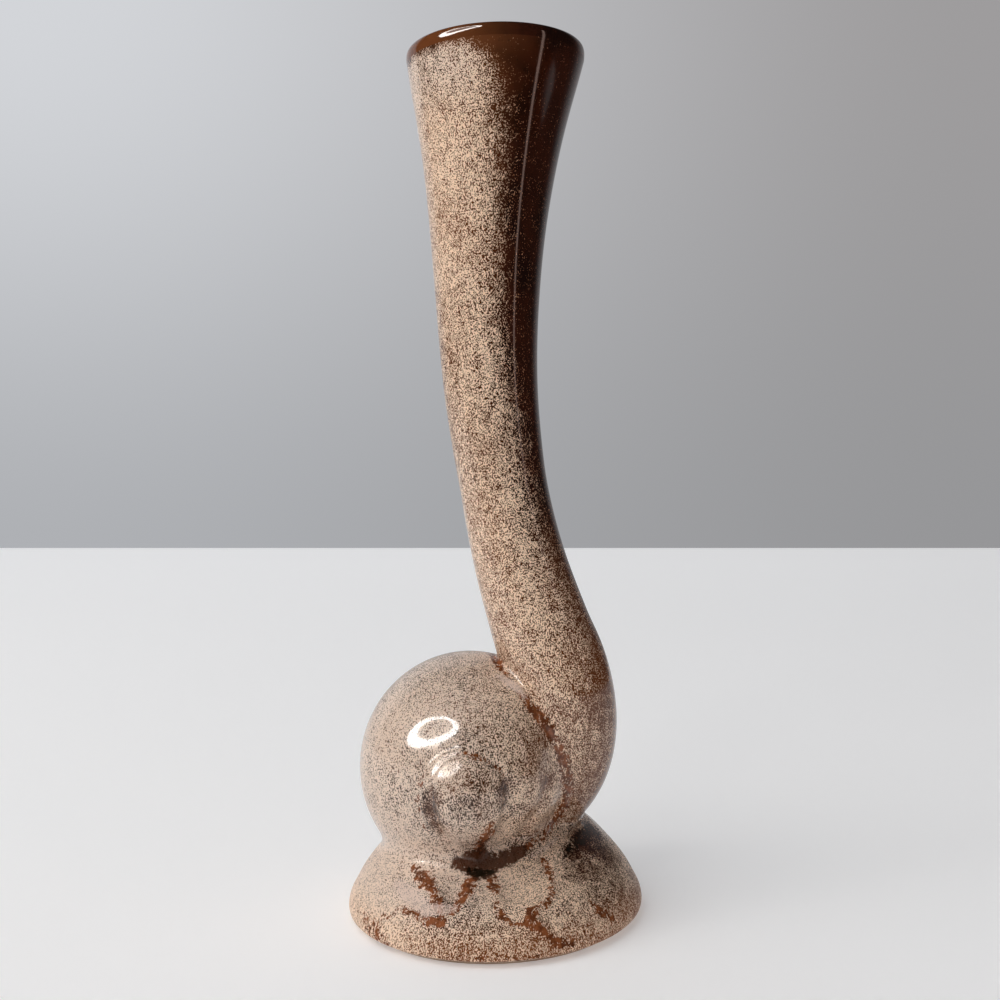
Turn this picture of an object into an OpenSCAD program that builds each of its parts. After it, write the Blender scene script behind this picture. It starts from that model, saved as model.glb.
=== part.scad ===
// Bud vase in the shape of a coiled snail shell: a slender flared neck grows out of the
// last turn of the shell, and the shell sits in a low domed foot.
// Millimetres, +Z up, origin under the middle of the foot, front of the shell towards -Y.

/* [Neck] */
// Height of the whole vase
vase_h = 175.4; // [165:0.2:185]
// Outside width of the mouth
mouth_d = 36.8; // [34:0.2:40]
// Outside width of the neck at its waist
waist_d = 17.7; // [16.5:0.1:19]
// Outside width of the neck where it leaves the shell
shoulder_d = 20.4; // [19.4:0.1:21.4]
// Thickness of the neck's wall
neck_wall = 3; // [2.6:0.1:3.3]
// How far the mouth tips towards the front, in degrees
mouth_tip_angle = 1; // [0:0.5:2]

/* [Lip] */
// Thickness of the rolled lip
lip_d = 3.6; // [3.4:0.1:4.2]

/* [Shell] */
// Radius of the shell where its turn begins, under the tip
shell_r = 24; // [23:0.2:25]
// How much smaller the shell's radius is after a whole turn
shell_drop = 7; // [6:0.2:8]
// Radius of the shell towards the front and the back
shell_depth_r = 22; // [21:0.2:23]
// Thickness of the shell's wall
shell_wall = 3.4; // [3:0.1:3.8]
// Height of the shell's middle above the table
shell_z = 30; // [29:0.2:31]
// How far the shell's middle lies to the left of the foot's
shell_left = 4.3; // [3.5:0.1:5]
// How far the shell's middle lies in front of the foot's
shell_front = 1.5; // [0.5:0.1:2.5]

/* [Last turn] */
// Outside width of the last turn where it dips under the shell
turn_d = 22.4; // [21.8:0.1:23]
// Distance from the shell's middle to the middle of the neck's root
turn_reach = 28.3; // [27.8:0.1:29]
// How far the last turn swings to the back and the front of the shell's middle plane
turn_swing = 5; // [4:0.2:6]

/* [Tip] */
// Radius of the round tip of the shell
tip_r = 9.2; // [8.8:0.1:9.6]
// How far the tip stands out in front of the shell
tip_proud = 2.6; // [2.2:0.1:3]
// How far the tip's middle lies below the shell's
tip_below = 3.8; // [3:0.1:4.6]
// How far the tip's middle lies to the left of the shell's
tip_aside = 0.6; // [0:0.1:1.2]

/* [Seam] */
// Thickness of the bead of clay that fills the seam between neck and shell
bead_d = 3.4; // [3:0.1:3.8]

/* [Foot] */
// Width of the foot, side to side
foot_w = 59; // [58:0.2:60]
// Depth of the foot, front to back
foot_d = 66; // [65:0.2:67]
// Height to which the foot's dome would rise inside the shell
foot_h = 24; // [23:0.2:25]
// How much lower the dome lies in front of the shell
foot_dip = 5.2; // [4.4:0.2:6]
// Thickness of the foot's wall
foot_wall = 4.2; // [3.8:0.1:4.6]
// Thickness of the floor inside the foot
floor_t = 3.6; // [3:0.1:4]
// Width of the bare ring that the vase stands on
ring_w = 4; // [3.4:0.1:4.6]
// Height of the bare ring
ring_h = 0.9; // [0.7:0.1:1.2]

/* [Hidden] */

glaze = [0.62, 0.50, 0.42];
glaze_pale = [0.72, 0.62, 0.54];
glaze_dark = [0.25, 0.13, 0.09];
rust = [0.55, 0.30, 0.18];
bare_clay = [0.70, 0.48, 0.36];

// How finely the curved walls are divided
stem_sides = 38;
neck_steps = 20;
turn_steps = 16;
shell_sides = 60;
shell_steps = 28;
hollow_sides = 40;
hollow_steps = 18;
foot_sides = 56;
bead_sides = 10;
bead_steps = 22;
tip_sides = 36;
tip_steps = 9;
halvings = 14;

// Overlap of one cut with the next
over = 1;
// Angle over which a direction is read off a curve
small_angle = 1;

// The neck from its root at 0 to the lip at 1:
// [share of the height, sideways share of the root's place, share of the swing to the front]
neck_shares = [
    [0, 1, 0.8],
    [0.14, 0.47, 0.58],
    [0.28, 0.12, 0.36],
    [0.45, -0.13, 0.18],
    [0.65, -0.19, 0.06],
    [0.85, -0.13, 0],
    [1, -0.02, 0.02],
];
// Where the neck is narrowest, and how its width grows above and below
waist_share = 0.277;
flare_share = 0.65;
flare_power = 3.3;
shoulder_power = 1.6;

// The last turn: [angle clockwise from the top, share of the reach, share of the swing to the front,
// share of the outside width]
root_angle = 30;
turn_end_angle = 190;
turn_shares = [
    [30, 1, 0.8, shoulder_d / turn_d],
    [50, 0.81, 0.95, 0.925],
    [70, 0.68, 0.6, 0.942],
    [90, 0.59, 0.05, 0.96],
    [118, 0.48, -0.45, 0.98],
    [150, 0.43, -0.5, 0.95],
    [190, 0.38, -0.3, 0.68],
];

// How the shell's radius falls over its turn, and the angle over which it steps back out
drop_power = 1.8;
turn_start = 180;
step_angle = 14;

// The seam bead's first and last angle, and its thickness at the ends
bead_start_angle = 34;
bead_end_angle = 136;
bead_end_share = 0.3;

// The foot's dome from its bare ring up: [share of the half width, share of the height, share of the dip]
foot_shares = [
    [0.978, 0, 0],
    [0.993, 0.02, 0],
    [1, 0.066, 0],
    [0.988, 0.138, 0],
    [0.953, 0.224, 0],
    [0.912, 0.319, 0.05],
    [0.853, 0.422, 0.2],
    [0.785, 0.522, 0.5],
    [0.71, 0.625, 0.8],
    [0.625, 0.724, 1],
    [0.52, 0.815, 1],
    [0.38, 0.897, 0.7],
    [0.2, 0.97, 0],
];
// The hollow inside it, from the floor up
hollow_shares = [
    [0.98, 0, 0],
    [0.94, 0.22, 0],
    [0.86, 0.42, 0.3],
    [0.74, 0.6, 0.8],
    [0.57, 0.78, 1],
    [0.36, 0.92, 0.6],
    [0.15, 1, 0],
];
// The direction of the dip, anticlockwise from the right, and how quickly it fades to its sides
dip_angle = -75;
dip_power = 1.5;
// The foot's oval is turned a little towards the left front
foot_turn_angle = 15;
// The ring's outer edge against the foot's half width
ring_share = 0.92;
edge_share = 0.953;
// How far round the tip's ball its cap reaches
tip_span = 84;

// Derived
lip_mid_r = (mouth_d - lip_d) / 2;
lip_rise = sqrt(max(0, lip_d * lip_d - neck_wall * neck_wall)) / 2;
rim_r = lip_mid_r + neck_wall / 2;
waist_r = waist_d / 2;
shoulder_r = shoulder_d / 2;
turn_r = turn_d / 2;
bead_r = bead_d / 2;
shell_mid = [-shell_left, -shell_front, shell_z];
root_x = turn_reach * sin(root_angle);
root_z = shell_z + turn_reach * cos(root_angle);
neck_top = vase_h - lip_mid_r * sin(mouth_tip_angle) - lip_rise * cos(mouth_tip_angle) - lip_d / 2;
lip_axis = [0, -sin(mouth_tip_angle), cos(mouth_tip_angle)];
edge_rx = foot_w / 2;
edge_ry = foot_d / 2;
slab_rx = edge_rx * edge_share - foot_wall;
slab_ry = edge_ry * edge_share - foot_wall;
floor_top = ring_h + floor_t;
hollow_top = foot_h - foot_wall;
tip_mid = [-shell_left - tip_aside, -shell_front - shell_depth_r - tip_proud + tip_r, shell_z - tip_below];

// Smooth reading of a table at k, column c, from the slopes on both sides
function slope(table, i, c) =
    let (a = max(i - 1, 0), b = min(i + 1, len(table) - 1))
    (table[b][c] - table[a][c]) / (table[b][0] - table[a][0]);
function span(table, k, i = 0) = i >= len(table) - 2 || k < table[i + 1][0] ? i : span(table, k, i + 1);
function read(table, k, c) =
    let (
        i = span(table, k),
        w = table[i + 1][0] - table[i][0],
        u = (k - table[i][0]) / w,
        p = table[i][c],
        q = table[i + 1][c],
        sp = slope(table, i, c) * w,
        sq = slope(table, i + 1, c) * w
    )
    p + u * (sp + u * (3 * (q - p) - 2 * sp - sq + u * (sp + sq - 2 * (q - p))));
function blend(a, b, t) = a + (b - a) * t;
function unit(v) = v / norm(v);

// Middle of the neck, and its outside radius, at a share of its height
function neck_r(s) =
    let (u = 1 - s / waist_share, t = (s - waist_share) / (1 - waist_share))
    s < waist_share
        ? blend(waist_r, shoulder_r, pow(u, shoulder_power))
        : blend(waist_r, rim_r, (1 - flare_share) * t + flare_share * pow(t, flare_power));
function neck_at(s) = [
    (root_x - shell_left) * read(neck_shares, s, 1),
    -turn_swing * read(neck_shares, s, 2),
    blend(root_z, neck_top, s),
    neck_r(s)
];

// Middle of the last turn, and its outside radius, at an angle
function turn_at(a) =
    let (reach = turn_reach * read(turn_shares, a, 1))
    [
        reach * sin(a) - shell_left,
        -turn_swing * read(turn_shares, a, 2),
        reach * cos(a) + shell_z,
        turn_r * read(turn_shares, a, 3)
    ];

stem = concat(
    [for (i = [0:neck_steps]) neck_at(1 - i / neck_steps)],
    [for (i = [1:turn_steps]) turn_at(blend(root_angle, turn_end_angle, i / turn_steps))]
);
stem_last = len(stem) - 1;
// The neck's last ring: its root, just above where the shell begins
root_ring = neck_steps - 1;
function spot(list, i) = [list[i][0], list[i][1], list[i][2]];
function heading(list, i) = unit(spot(list, min(i + 1, len(list) - 1)) - spot(list, max(i - 1, 0)));

// A ring of points round a middle, square to its heading; the first point lies outwards
function ring(mid, head, r, sides) =
    let (side = unit(cross(head, [0, 1, 0])), front = cross(head, side))
    [for (j = [0:sides - 1]) mid + r * (cos(360 * j / sides) * side + sin(360 * j / sides) * front)];
function stem_ring(i, inset) =
    ring(spot(stem, i), i == 0 ? -lip_axis : heading(stem, i), stem[i][3] - inset, stem_sides);
function stem_rings(first, last, inset) = [for (i = [first:last]) stem_ring(i, inset)];

// The shell's radius at an angle clockwise from the top
function shell_radius(a) =
    let (
        turned = (a - turn_start + 720) % 360,
        full = shell_r - shell_drop * pow(turned / 360, drop_power),
        left = 360 - turned
    )
    left < step_angle ? blend(shell_r, full, left / step_angle) : full;
function shell_rings(inset, sides, steps) = [
    for (i = [0:steps])
        let (v = blend(90 / steps, 180 - 90 / steps, i / steps), depth = shell_depth_r - inset)
        [for (j = [0:sides - 1])
            let (a = 360 * j / sides, r = (shell_radius(a) - inset) * sin(v))
            shell_mid + [r * sin(a), -depth * cos(v), r * cos(a)]]
];

// Where the last turn's skin meets the shell's, in front, at an angle of the turn
function in_shell(p) =
    let (q = p - shell_mid, r = shell_radius(atan2(q[0], q[2])))
    (q[0] * q[0] + q[2] * q[2]) / (r * r) + q[1] * q[1] / (shell_depth_r * shell_depth_r) < 1;
function turn_head(a) =
    let (p = turn_at(a - small_angle), q = turn_at(a + small_angle))
    unit([q[0] - p[0], q[1] - p[1], q[2] - p[2]]);
function turn_skin(a, t) =
    let (
        mid = turn_at(a),
        head = turn_head(a),
        side = unit(cross(head, [0, 1, 0])),
        front = cross(head, side)
    )
    [mid[0], mid[1], mid[2]] + mid[3] * (cos(t) * side + sin(t) * front);
function seam_t(a, out, inner, n) =
    let (t = (out + inner) / 2)
    n == 0 ? t : in_shell(turn_skin(a, t)) ? seam_t(a, out, t, n - 1) : seam_t(a, t, inner, n - 1);
seam = [
    for (i = [0:bead_steps])
        let (a = blend(bead_start_angle, bead_end_angle, i / bead_steps))
        turn_skin(a, seam_t(a, 0, 180, halvings))
];

// Solids skinned over rings of points
function skin_sides(sides, count, from = 0) = [
    for (i = [0:count - 2]) for (j = [0:sides - 1])
        let (
            a = from + i * sides + j,
            b = from + i * sides + (j + 1) % sides,
            c = b + sides,
            d = a + sides
        )
        each [[a, d, c], [a, c, b]]
];
function flat(rings) = [for (r = rings) each r];
module skin(rings) {
    sides = len(rings[0]);
    count = len(rings);
    polyhedron(flat(rings), concat(
        [[for (j = [0:sides - 1]) j]],
        skin_sides(sides, count),
        [[for (j = [sides - 1:-1:0]) (count - 1) * sides + j]]
    ), convexity = 4);
}
module pipe(outer, inner) {
    sides = len(outer[0]);
    count = len(outer);
    total = sides * count;
    last = total - sides;
    polyhedron(flat(concat(outer, inner)), concat(
        skin_sides(sides, count),
        [for (f = skin_sides(sides, count, total)) [f[0], f[2], f[1]]],
        [for (j = [0:sides - 1]) let (k = (j + 1) % sides) each [[j, k, total + k], [j, total + k, total + j]]],
        [for (j = [0:sides - 1]) let (k = (j + 1) % sides)
            each [[last + j, last + total + k, last + k], [last + j, last + total + j, last + total + k]]]
    ), convexity = 6);
}

// The foot's oval, and a dome of such ovals
function oval(rx, ry, z) = [
    for (j = [0:foot_sides - 1])
        let (a = 360 * j / foot_sides, x = rx * cos(a), y = ry * sin(a))
        [x * cos(foot_turn_angle) + y * sin(foot_turn_angle), y * cos(foot_turn_angle) - x * sin(foot_turn_angle), z]
];
module oval_plate(rx, ry, h) {
    linear_extrude(height = h) polygon([for (p = oval(rx, ry, 0)) [p[0], p[1]]]);
}
function dip(a, share) = foot_dip * share * pow(max(0, cos(a - foot_turn_angle - dip_angle)), dip_power);
module dome(shares, rx, ry, low, high) {
    skin([for (s = shares)
        let (rim = oval(rx * s[0], ry * s[0], blend(low, high, s[1])))
        [for (j = [0:foot_sides - 1]) rim[j] - [0, 0, dip(360 * j / foot_sides, s[2])]]]);
}

// Outer bodies before they are hollowed and fitted to each other
module shell_body() skin(shell_rings(0, shell_sides, shell_steps));
module turn_body() skin(stem_rings(root_ring, stem_last, 0));
module foot_body() dome(foot_shares, edge_rx, edge_ry, ring_h, foot_h);
module tip_cap(r, reach) {
    skin([for (i = [0:tip_steps])
        let (v = blend(reach / tip_steps / 2, reach, i / tip_steps))
        [for (j = [0:tip_sides - 1])
            let (a = 360 * j / tip_sides)
            tip_mid + r * [sin(v) * sin(a), -cos(v), sin(v) * cos(a)]]]);
}

// The one hollow that runs from the neck through the shell into the foot
module hollow() {
    skin(shell_rings(shell_wall, hollow_sides, hollow_steps));
    skin(stem_rings(root_ring - 1, stem_last, neck_wall));
    tip_cap(tip_r - shell_wall, 90);
    dome(hollow_shares, slab_rx, slab_ry, floor_top - over, hollow_top);
}

// The room that the floor slab takes, which the glazed forms stay clear of
module floor_space() oval_plate(slab_rx, slab_ry, floor_top);

module lip() {
    color(glaze_dark)
        translate(spot(stem, 0)) rotate([mouth_tip_angle, 0, 0]) rotate_extrude() intersection() {
            translate([lip_mid_r, lip_rise]) circle(d = lip_d);
            translate([lip_mid_r - lip_d / 2, 0]) square([lip_d, lip_d * 2]);
        }
}

module neck() {
    color(glaze) pipe(stem_rings(0, root_ring, 0), stem_rings(0, root_ring, neck_wall));
}

module last_turn() {
    color(glaze) difference() {
        turn_body();
        shell_body();
        hollow();
        floor_space();
    }
}

module shell() {
    color(glaze_pale) difference() {
        shell_body();
        tip_cap(tip_r, tip_span);
        hollow();
        floor_space();
    }
}

module tip() {
    color(glaze) difference() {
        tip_cap(tip_r, tip_span);
        hollow();
    }
}

module seam_bead() {
    color(rust) difference() {
        skin([for (i = [0:bead_steps])
            let (r = bead_r * blend(bead_end_share, 1, sin(180 * i / bead_steps)))
            ring(seam[i], heading(seam, i), r, bead_sides)]);
        shell_body();
        turn_body();
        foot_body();
    }
}

module foot() {
    color(glaze) difference() {
        foot_body();
        shell_body();
        turn_body();
        hollow();
        floor_space();
    }
}

module floor_slab() {
    color(bare_clay) translate([0, 0, ring_h]) oval_plate(slab_rx, slab_ry, floor_t);
}

module foot_ring() {
    color(bare_clay) difference() {
        oval_plate(edge_rx * ring_share, edge_ry * ring_share, ring_h);
        translate([0, 0, -over])
            oval_plate(edge_rx * ring_share - ring_w, edge_ry * ring_share - ring_w, ring_h + 2 * over);
    }
}

lip();
neck();
last_turn();
seam_bead();
shell();
tip();
foot();
floor_slab();
foot_ring();
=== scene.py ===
import math

import bmesh
import bpy
import numpy as np
from mathutils import Matrix, Vector, geometry


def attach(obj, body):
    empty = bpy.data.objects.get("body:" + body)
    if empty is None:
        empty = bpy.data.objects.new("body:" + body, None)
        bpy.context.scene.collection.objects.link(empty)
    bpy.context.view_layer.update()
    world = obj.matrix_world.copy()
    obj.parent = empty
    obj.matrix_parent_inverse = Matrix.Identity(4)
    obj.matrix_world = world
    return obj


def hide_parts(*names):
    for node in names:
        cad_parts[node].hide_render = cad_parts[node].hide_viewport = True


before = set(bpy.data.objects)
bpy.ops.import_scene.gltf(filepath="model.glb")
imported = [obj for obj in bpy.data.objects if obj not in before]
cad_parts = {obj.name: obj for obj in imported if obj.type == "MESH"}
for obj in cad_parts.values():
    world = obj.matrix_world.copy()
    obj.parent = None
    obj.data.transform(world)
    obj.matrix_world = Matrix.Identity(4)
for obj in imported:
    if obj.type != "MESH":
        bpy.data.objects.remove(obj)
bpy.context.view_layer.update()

# The vase's sizes in millimetres and degrees, as its solids have them
MM = 0.001
VASE_H = 175.4
MOUTH_D = 36.8
WAIST_D = 17.7
SHOULDER_D = 20.4
NECK_WALL = 3.0
MOUTH_TIP = 1.0
LIP_D = 3.6
SHELL_R = 24.0
SHELL_DROP = 7.0
SHELL_DEPTH_R = 22.0
SHELL_Z = 30.0
SHELL_LEFT = 4.3
SHELL_FRONT = 1.5
TURN_D = 22.4
TURN_REACH = 28.3
TURN_SWING = 5.0
TIP_R = 9.2
TIP_PROUD = 2.6
TIP_BELOW = 3.8
TIP_ASIDE = 0.6
FOOT_W = 59.0
FOOT_D = 66.0
FOOT_H = 24.0
FOOT_DIP = 5.2
FOOT_WALL = 4.2
RING_H = 0.9
EDGE_SHARE = 0.953
# The mouth is also a little higher on its right, and its crown keeps to the vase's height
MOUTH_RISE = 1.8
MOUTH_DROP = 0.33

# The neck's middle: share of its height, share of the lean, share of the swing
NECK_LINE = [
    (0, 1, 0.8), (0.14, 0.47, 0.58), (0.28, 0.12, 0.36), (0.45, -0.13, 0.18), (0.65, -0.19, 0.06),
    (0.85, -0.13, 0), (1, -0.02, 0.02),
]
WAIST_SHARE = 0.277
FLARE_SHARE = 0.65
FLARE_POWER = 3.3
SHOULDER_POWER = 1.6
# The neck swells just under the mouth: how much of the depth, and how deep it is fullest
RIM_BULGE = 0.12
RIM_BULGE_DEPTH = 5.0
# The last turn: degrees clockwise from the top, share of the reach, share of the swing, share of the width
ROOT_ANGLE = 30.0
TURN_END = 190.0
TURN_LINE = [
    (30, 1, 0.8, SHOULDER_D / TURN_D), (50, 0.81, 0.95, 0.925), (70, 0.68, 0.6, 0.942),
    (90, 0.59, 0.05, 0.96), (118, 0.48, -0.45, 0.98), (150, 0.43, -0.5, 0.95), (190, 0.38, -0.3, 0.68),
]
# The foot's dome: share of the height, share of the half width, share of the dip
FOOT_LINE = [
    (0, 0.978, 0), (0.02, 0.993, 0), (0.066, 1, 0), (0.138, 0.988, 0), (0.224, 0.953, 0),
    (0.319, 0.912, 0.05), (0.422, 0.853, 0.2), (0.522, 0.785, 0.5), (0.625, 0.71, 0.8),
    (0.724, 0.625, 1), (0.815, 0.52, 1), (0.897, 0.38, 0.7), (0.97, 0.2, 0),
]
# The foot is turned a little, and its dome dips on one side
FOOT_TURN = math.radians(15)
DIP_ANGLE = math.radians(-75)
DIP_POWER = 1.5
# Round the coil, from the bottom on, its radius drops, and steps back over the last SHELL_STEP degrees
COIL_START = 540
SHELL_STEP = 14.0
DROP_POWER = 1.8

# How softly the forms run together, in millimetres
TIP_SOFT = 0.15
SEAM_SOFT = 1.1
FILLET_SOFT = 3.4
CREASE_SOFT = 1.0
EDGE_SOFT = 0.7
# The tip's own half sizes: across, to the front, up; and how far its middle stands from the cap's
TIP_SIZE = np.array([10.8, 11.0, 11.6])
TIP_SHIFT = np.array([-0.7, 1.8, 2.2])

# The camera, in millimetres, and the picture's own measures
EYE = np.array([0.72, -246.0, 88.0])
FOCUS = 1200.0
MIDDLE = 500.0
HORIZON = 475.0
SENSOR = 36.0
PICTURE = 1000.0

# Lines of relief on the glazed body, at picture places: (across, down, height in mm, half width in mm)
RELIEF = {
    "seam ridge": [
        (493, 657, 0.0, 0.7), (507, 672, 0.3, 0.7), (523, 694.7, 0.55, 0.75), (536, 713, 0.55, 0.8),
        (552.7, 729.5, 0.55, 0.8), (561, 746, 0.55, 0.85), (566, 759.4, 0.5, 0.9),
        (567.6, 772.7, 0.5, 0.9), (566, 789, 0.5, 0.9), (562.7, 805.8, 0.5, 0.9),
        (552.7, 820.8, 0.45, 0.85), (542.8, 834, 0.45, 0.8), (532.8, 845.6, 0.3, 0.8),
        (520, 853, 0.0, 0.8),
    ],
    "beside the seam": [
        (515, 700, 0.0, 1.4), (533, 722, -0.2, 1.5), (548, 742, -0.3, 1.5), (556, 762, -0.3, 1.4),
        (558, 780, -0.2, 1.2), (556, 800, 0.0, 1.2),
    ],
    "second turn": [
        (540, 744, 0.0, 1.8), (548, 758, -0.4, 1.8), (551, 770, -0.8, 1.7), (551, 783, -1.1, 1.7),
        (546, 798, -1.3, 1.6), (537, 816, -1.4, 1.5), (522, 834, -1.4, 1.4), (504, 849, -1.4, 1.3),
        (487, 859, -1.1, 1.3),
    ],
    "inside the second turn": [
        (520, 766, 0.0, 2.4), (531, 782, 0.4, 2.4), (530, 800, 0.5, 2.4), (520, 820, 0.5, 2.0),
        (505, 838, 0.3, 1.6),
    ],
    "round the tip": [
        (432, 780, 0.0, 0.6), (435, 772, -0.1, 0.6), (444, 761, -0.12, 0.6), (458, 755, -0.2, 0.7),
        (474, 754, -0.3, 0.9), (489, 760, -0.35, 1.0), (500, 770, -0.35, 1.0), (507, 784, 0.0, 1.0),
    ],
    "left of the tip": [
        (432, 778, 0.0, 1.2), (428, 790, -0.6, 1.3), (428, 805, -1.0, 1.4), (433, 821, -1.1, 1.3),
        (443, 837, -1.2, 1.1), (455, 850, -1.2, 1.0), (470, 858, -0.9, 1.2),
    ],
    "right of the tip": [
        (504, 774, 0.0, 1.2), (508, 786, -0.6, 1.3), (509, 800, -1.0, 1.4), (506, 816, -1.0, 1.2),
        (499, 834, -1.0, 1.0), (489, 851, -0.9, 1.1),
    ],
    "pool": [
        (464, 859, -0.8, 1.5), (474, 862, -1.2, 1.8), (484, 864, -1.2, 1.8), (498, 859, -0.8, 1.5),
    ],
    "ridge by the foot": [
        (592, 812, 0.0, 0.6), (581, 826, 0.5, 0.6), (570, 839, 0.55, 0.65), (558, 850, 0.5, 0.7),
        (543, 859, 0.0, 0.7),
    ],
    "crease by the foot": [
        (586, 812, 0.0, 0.6), (576, 826, -0.5, 0.6), (565, 837, -0.5, 0.65), (554, 846, -0.45, 0.7),
        (540, 854, 0.0, 0.7),
    ],
    "left run": [
        (413, 866, 0.0, 1.0), (421, 877, 0.5, 1.2), (432, 888, 0.55, 1.2), (441, 903, 0.5, 1.1),
        (446, 914, 0.0, 1.0),
    ],
    "left of the run": [
        (400, 868, 0.0, 2.0), (408, 882, -0.5, 2.2), (420, 898, -0.5, 2.2), (432, 908, -0.2, 1.8),
    ],
    "middle run": [
        (480, 877, 0.2, 1.0), (472, 890, 0.5, 1.1), (464, 905, 0.35, 1.0), (450, 918, 0.35, 1.0),
        (428, 923, 0.4, 1.0), (410, 913, 0.35, 0.9), (392, 915, 0.0, 0.9),
    ],
    "between the runs": [(455, 872, 0.0, 2.0), (455, 888, -0.6, 2.4), (450, 904, -0.4, 2.0)],
    "short run": [
        (490, 880, 0.2, 0.9), (496, 892, 0.3, 0.9), (500, 908, 0.25, 0.8), (508, 924, 0.0, 0.8),
    ],
    "front hollow": [(515, 872, 0.0, 2.6), (518, 892, -0.6, 3.0), (514, 910, -0.3, 2.4)],
    "right run": [
        (553, 862, 0.2, 0.8), (551, 885, 0.35, 0.9), (546, 902, 0.35, 0.8), (532, 914, 0.5, 1.1),
        (541, 927, 0.35, 0.9), (556, 941, 0.0, 0.8),
    ],
}

# Where the red-brown shows through: (across, down, half width in mm, strength)
RUST = {
    "seam top": [
        (492, 654, 0.8, 0.9), (496, 661, 1.2, 1.0), (501, 669, 1.0, 0.9), (506, 675, 0.5, 0.5),
        (514, 685, 0.3, 0.25),
    ],
    "seam": [
        (518, 693, 0.6, 0.6), (525, 700, 1.0, 0.9), (533, 710, 1.2, 1.0), (541, 720, 1.3, 1.0),
        (549, 730, 1.2, 1.0), (555, 741, 1.1, 0.85), (560, 752, 1.4, 0.75), (564, 766, 1.6, 0.75),
        (566, 780, 1.6, 0.78), (565, 796, 1.6, 0.78), (561, 811, 1.5, 0.74), (552, 825, 1.2, 0.62),
        (541, 838, 1.1, 0.5), (527, 848, 0.9, 0.5),
    ],
    "tip top": [
        (455, 754, 0.4, 0.3), (466, 753, 0.6, 0.5), (473, 756, 0.9, 0.62), (482, 758, 0.6, 0.5),
        (494, 764, 0.5, 0.42), (503, 773, 0.6, 0.45), (509, 784, 0.6, 0.4),
    ],
    "tip left": [
        (432, 766, 0.6, 0.42), (422, 778, 0.8, 0.46), (417, 795, 0.8, 0.48), (418, 812, 0.7, 0.4),
        (424, 828, 0.6, 0.3),
    ],
    "tip foot": [
        (493, 821, 0.6, 0.45), (489, 831, 1.5, 0.9), (485, 841, 2.0, 1.0), (482, 851, 1.9, 1.0),
    ],
    "left run": [
        (413, 867, 0.9, 0.7), (420, 875, 1.6, 1.0), (429, 884, 1.7, 1.0), (434, 893, 0.9, 0.7),
        (437, 902, 1.3, 0.95), (439, 911, 1.2, 0.9), (444, 917, 0.8, 0.6),
    ],
    "middle run": [
        (473, 878, 1.0, 0.8), (468, 886, 1.5, 1.0), (464, 896, 1.4, 1.0), (457, 907, 1.0, 0.85),
        (449, 915, 0.8, 0.7), (441, 922, 1.0, 0.9), (430, 923, 0.9, 0.85), (418, 917, 0.9, 0.85),
        (409, 912, 0.9, 0.85), (401, 909, 0.8, 0.7), (392, 915, 0.7, 0.5), (380, 918, 0.6, 0.35),
    ],
    "short run": [
        (492, 879, 1.0, 0.85), (494, 888, 1.2, 0.95), (497, 897, 0.6, 0.45), (497, 908, 0.8, 0.75),
        (502, 916, 0.9, 0.8), (514, 924, 0.6, 0.5), (526, 926, 0.5, 0.5),
    ],
    "right run": [
        (543, 860, 0.8, 0.6), (549, 872, 1.0, 0.8), (552, 882, 0.7, 0.6), (551, 893, 0.8, 0.7),
        (546, 905, 0.8, 0.65), (535, 908, 0.8, 0.7), (531, 914, 1.5, 1.0), (530, 922, 1.4, 0.95),
        (540, 928, 0.9, 0.8), (548, 936, 0.9, 0.85), (556, 943, 0.9, 0.75), (572, 941, 1.2, 0.5),
        (584, 933, 0.8, 0.4),
    ],
    "right foot": [
        (590, 903, 0.7, 0.5), (598, 910, 1.1, 0.8), (607, 917, 1.1, 0.7), (616, 920, 0.8, 0.4),
    ],
    "left foot": [
        (364, 918, 1.2, 0.5), (372, 931, 2.4, 0.72), (384, 943, 2.4, 0.66), (400, 951, 1.6, 0.5),
        (424, 956, 1.0, 0.36),
    ],
    "front foot": [(460, 958, 1.0, 0.34), (500, 960, 1.0, 0.36), (540, 958, 1.0, 0.34)],
}
# Dark pooled glaze, its darkest places with painted shade, and pale places with painted highlights, in the
# same way
POOLS = {
    "pool": [
        (457, 863, 1.3, 0.75), (466, 863, 2.0, 1.0), (476, 861, 3.0, 1.0), (488, 861, 2.7, 1.0),
        (500, 859, 2.2, 1.0), (512, 855, 1.9, 0.95), (523, 850, 1.1, 0.75),
    ],
    "spike": [(487, 840, 0.6, 0.5), (483, 850, 1.4, 0.9)],
    "below": [(470, 869, 1.5, 0.9), (480, 873, 2.0, 1.0), (490, 872, 1.5, 0.9)],
}
DEEP_AND_SHADE = {
    "middle": [(471, 869, 1.3, 0.8), (480, 872, 1.9, 1.0), (490, 870, 1.3, 0.8)],
    # Painted shade, in the crease where the foot meets the last turn
    "beside the turn": [
        (561, 857, 0.8, 0.42), (573, 846, 1.5, 0.56), (583, 836, 1.5, 0.54), (591, 825, 1.0, 0.44),
    ],
}
PALE_AND_HIGHLIGHT = {
    # Pale glaze on the seam's ridge, with a painted highlight where the ridge catches the light
    "seam ridge": [
        (499, 676, 0.8, 0.8), (508, 682, 1.2, 1.0), (517, 689, 1.1, 1.0), (524, 698, 0.8, 0.7),
    ],
    # A painted highlight: the lamp's soft reflection on the left of the foot
    "left foot": [
        (398, 882, 1.6, 0.7), (408, 893, 2.0, 1.0), (420, 903, 1.8, 0.9), (427, 911, 1.5, 0.9),
        (452, 908, 1.4, 0.7),
    ],
    "lower seam": [(556, 838, 0.6, 0.5), (546, 848, 0.8, 0.6), (530, 857, 0.6, 0.5)],
}
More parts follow.
